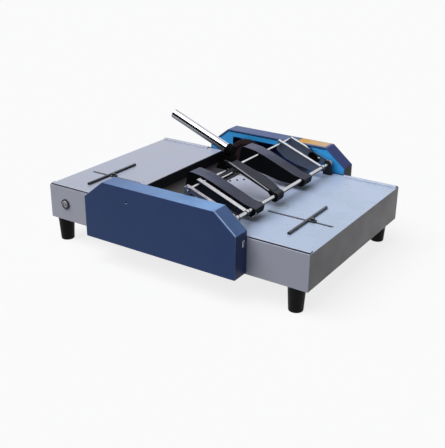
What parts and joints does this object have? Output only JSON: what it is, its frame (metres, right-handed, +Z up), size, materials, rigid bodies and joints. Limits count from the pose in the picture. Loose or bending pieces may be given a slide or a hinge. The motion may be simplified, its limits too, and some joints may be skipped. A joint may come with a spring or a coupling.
{
  "type": "booklet maker",
  "caption": "Counter-top booklet maker: feed tables with sliding stops, a hand lever that swings stapler arms down onto a steel bed, and geared fold rollers in the well between.",
  "frame": {"origin": "on the desk under the middle of the machine's length and depth", "axes": "+X along the paper's path from the left feed table to the right one, +Y from the near side with the switch to the far side with the drive gear, +Z up"},
  "size_m": [0.65, 0.513, 0.2942],
  "materials": {
    "table_grey": "fine grey-blue powder coat, satin",
    "cover_blue": "dark blue enamel, satin",
    "panel_blue": "bright blue enamel, satin",
    "black_steel": "black powder coat",
    "arm_grey": "dark grey enamel, satin",
    "chrome": "bright chrome plating",
    "bed_steel": "ground steel, slightly oiled",
    "zinc_steel": "zinc-plated steel",
    "roller_rubber": "ground black rubber",
    "foot_rubber": "moulded black rubber",
    "gear_brown": "dark brown phenolic laminate",
    "chute_bronze": "brown-grey enamel",
    "stop_grey": "grey enamel",
    "black_plastic": "moulded black plastic",
    "rocker_grey": "moulded light grey plastic",
    "motor_grey": "grey enamel"
  },
  "bodies": {
    "body": {"base_plate": "black_steel", "left_table_box": "table_grey", "left_table_top": "table_grey", "right_table_box": "table_grey", "right_table_top": "table_grey", "near_side_frame": "black_steel", "far_side_frame": "black_steel", "bed_plate": "bed_steel", "near_clincher": "zinc_steel", "far_clincher": "zinc_steel", "well_wall": "black_steel", "chute_plate": "chute_bronze", "near_bearing_plate": "zinc_steel", "far_bearing_plate": "zinc_steel", "near_cover": "cover_blue", "near_inner_panel": "panel_blue", "far_cover": "cover_blue", "far_inner_panel": "panel_blue", "pivot_shaft": "chrome", "near_shaft_bracket": "black_steel", "far_shaft_bracket": "black_steel", "foot_near_left": "foot_rubber", "foot_near_right": "foot_rubber", "foot_far_left": "foot_rubber", "foot_far_right": "foot_rubber", "gear_motor": "motor_grey", "switch_bezel": "black_plastic", "mains_inlet": "black_plastic", "lift_spring": "zinc_steel"},
    "press_frame": {"near_stapler_arm": "arm_grey", "far_stapler_arm": "arm_grey", "near_staple_head": "zinc_steel", "far_staple_head": "zinc_steel", "middle_bar": "arm_grey", "middle_link": "chrome", "lever_block": "black_steel", "lever_tube": "chrome", "near_outer_link": "chrome", "near_inner_link": "chrome", "far_inner_link": "chrome", "far_outer_link": "chrome", "cross_rod": "chrome", "tie_rod": "chrome", "spring_bracket": "zinc_steel"},
    "near_magazine": {"near_magazine": "zinc_steel"},
    "far_magazine": {"far_magazine": "zinc_steel"},
    "left_stop": {"left_stop_bar": "stop_grey"},
    "right_stop": {"right_stop_bar": "stop_grey"},
    "left_knob": {"left_stop_knob": "black_plastic"},
    "right_knob": {"right_stop_knob": "black_plastic"},
    "right_roller": {"right_roller": "roller_rubber", "right_roller_shaft": "zinc_steel", "right_timing_gear": "zinc_steel", "roller_pinion": "gear_brown"},
    "left_roller": {"left_roller": "roller_rubber", "left_roller_shaft": "zinc_steel", "left_timing_gear": "zinc_steel"},
    "drive_gear": {"drive_gear": "gear_brown"},
    "motor_pinion": {"motor_pinion": "zinc_steel"},
    "rocker": {"power_rocker": "rocker_grey"}
  },
  "joints": [
    {"name": "press_hinge", "type": "hinge", "parent": "body", "child": "press_frame", "pos_m": [0.1566, 0, 0.1561], "axis": [0, -1, 0], "range_deg": [0, 11.2], "stiffness_Nm_per_rad": 8, "springref_deg": -40.11, "deforming": ["lift_spring"]},
    {"name": "near_magazine_slide", "type": "slide", "parent": "press_frame", "child": "near_magazine", "axis": [0.1942, 0, 0.981], "range_m": [0, 0.004], "stiffness_N_per_m": 2000, "springref_m": -0.004},
    {"name": "far_magazine_slide", "type": "slide", "parent": "press_frame", "child": "far_magazine", "axis": [0.1942, 0, 0.981], "range_m": [0, 0.004], "stiffness_N_per_m": 2000, "springref_m": -0.004},
    {"name": "left_stop_slide", "type": "slide", "parent": "body", "child": "left_stop", "axis": [1, 0, 0], "range_m": [-0.045, 0.073]},
    {"name": "right_stop_slide", "type": "slide", "parent": "body", "child": "right_stop", "axis": [1, 0, 0], "range_m": [-0.087, 0.043]},
    {"name": "left_knob_turn", "type": "hinge", "parent": "left_stop", "child": "left_knob", "pos_m": [-0.2399, -0.0975, 0.1373], "axis": [0, 0, 1], "range_deg": [0, 270]},
    {"name": "right_knob_turn", "type": "hinge", "parent": "right_stop", "child": "right_knob", "pos_m": [0.2587, -0.0753, 0.1373], "axis": [0, 0, 1], "range_deg": [0, 270]},
    {"name": "right_roller_spin", "type": "hinge", "parent": "body", "child": "right_roller", "pos_m": [-0.0133, 0, 0.088], "axis": [0, 1, 0], "continuous": true},
    {"name": "left_roller_spin", "type": "hinge", "parent": "body", "child": "left_roller", "pos_m": [-0.0517, 0, 0.088], "axis": [0, 1, 0], "continuous": true},
    {"name": "drive_gear_spin", "type": "hinge", "parent": "body", "child": "drive_gear", "pos_m": [-0.0639, 0.2, 0.1273], "axis": [0, 1, 0], "continuous": true},
    {"name": "motor_pinion_spin", "type": "hinge", "parent": "body", "child": "motor_pinion", "pos_m": [-0.09835, 0.2, 0.0781], "axis": [0, 1, 0], "continuous": true},
    {"name": "rocker_click", "type": "hinge", "parent": "body", "child": "rocker", "pos_m": [-0.2799, -0.2167, 0.0933], "axis": [-1, 0, 0], "range_deg": [0, 14]}
  ],
  "couplings": [
    {"joint": "left_roller_spin", "follows": "right_roller_spin", "ratio": -1},
    {"joint": "drive_gear_spin", "follows": "right_roller_spin", "ratio": -0.33333},
    {"joint": "motor_pinion_spin", "follows": "right_roller_spin", "ratio": 1.3333}
  ]
}
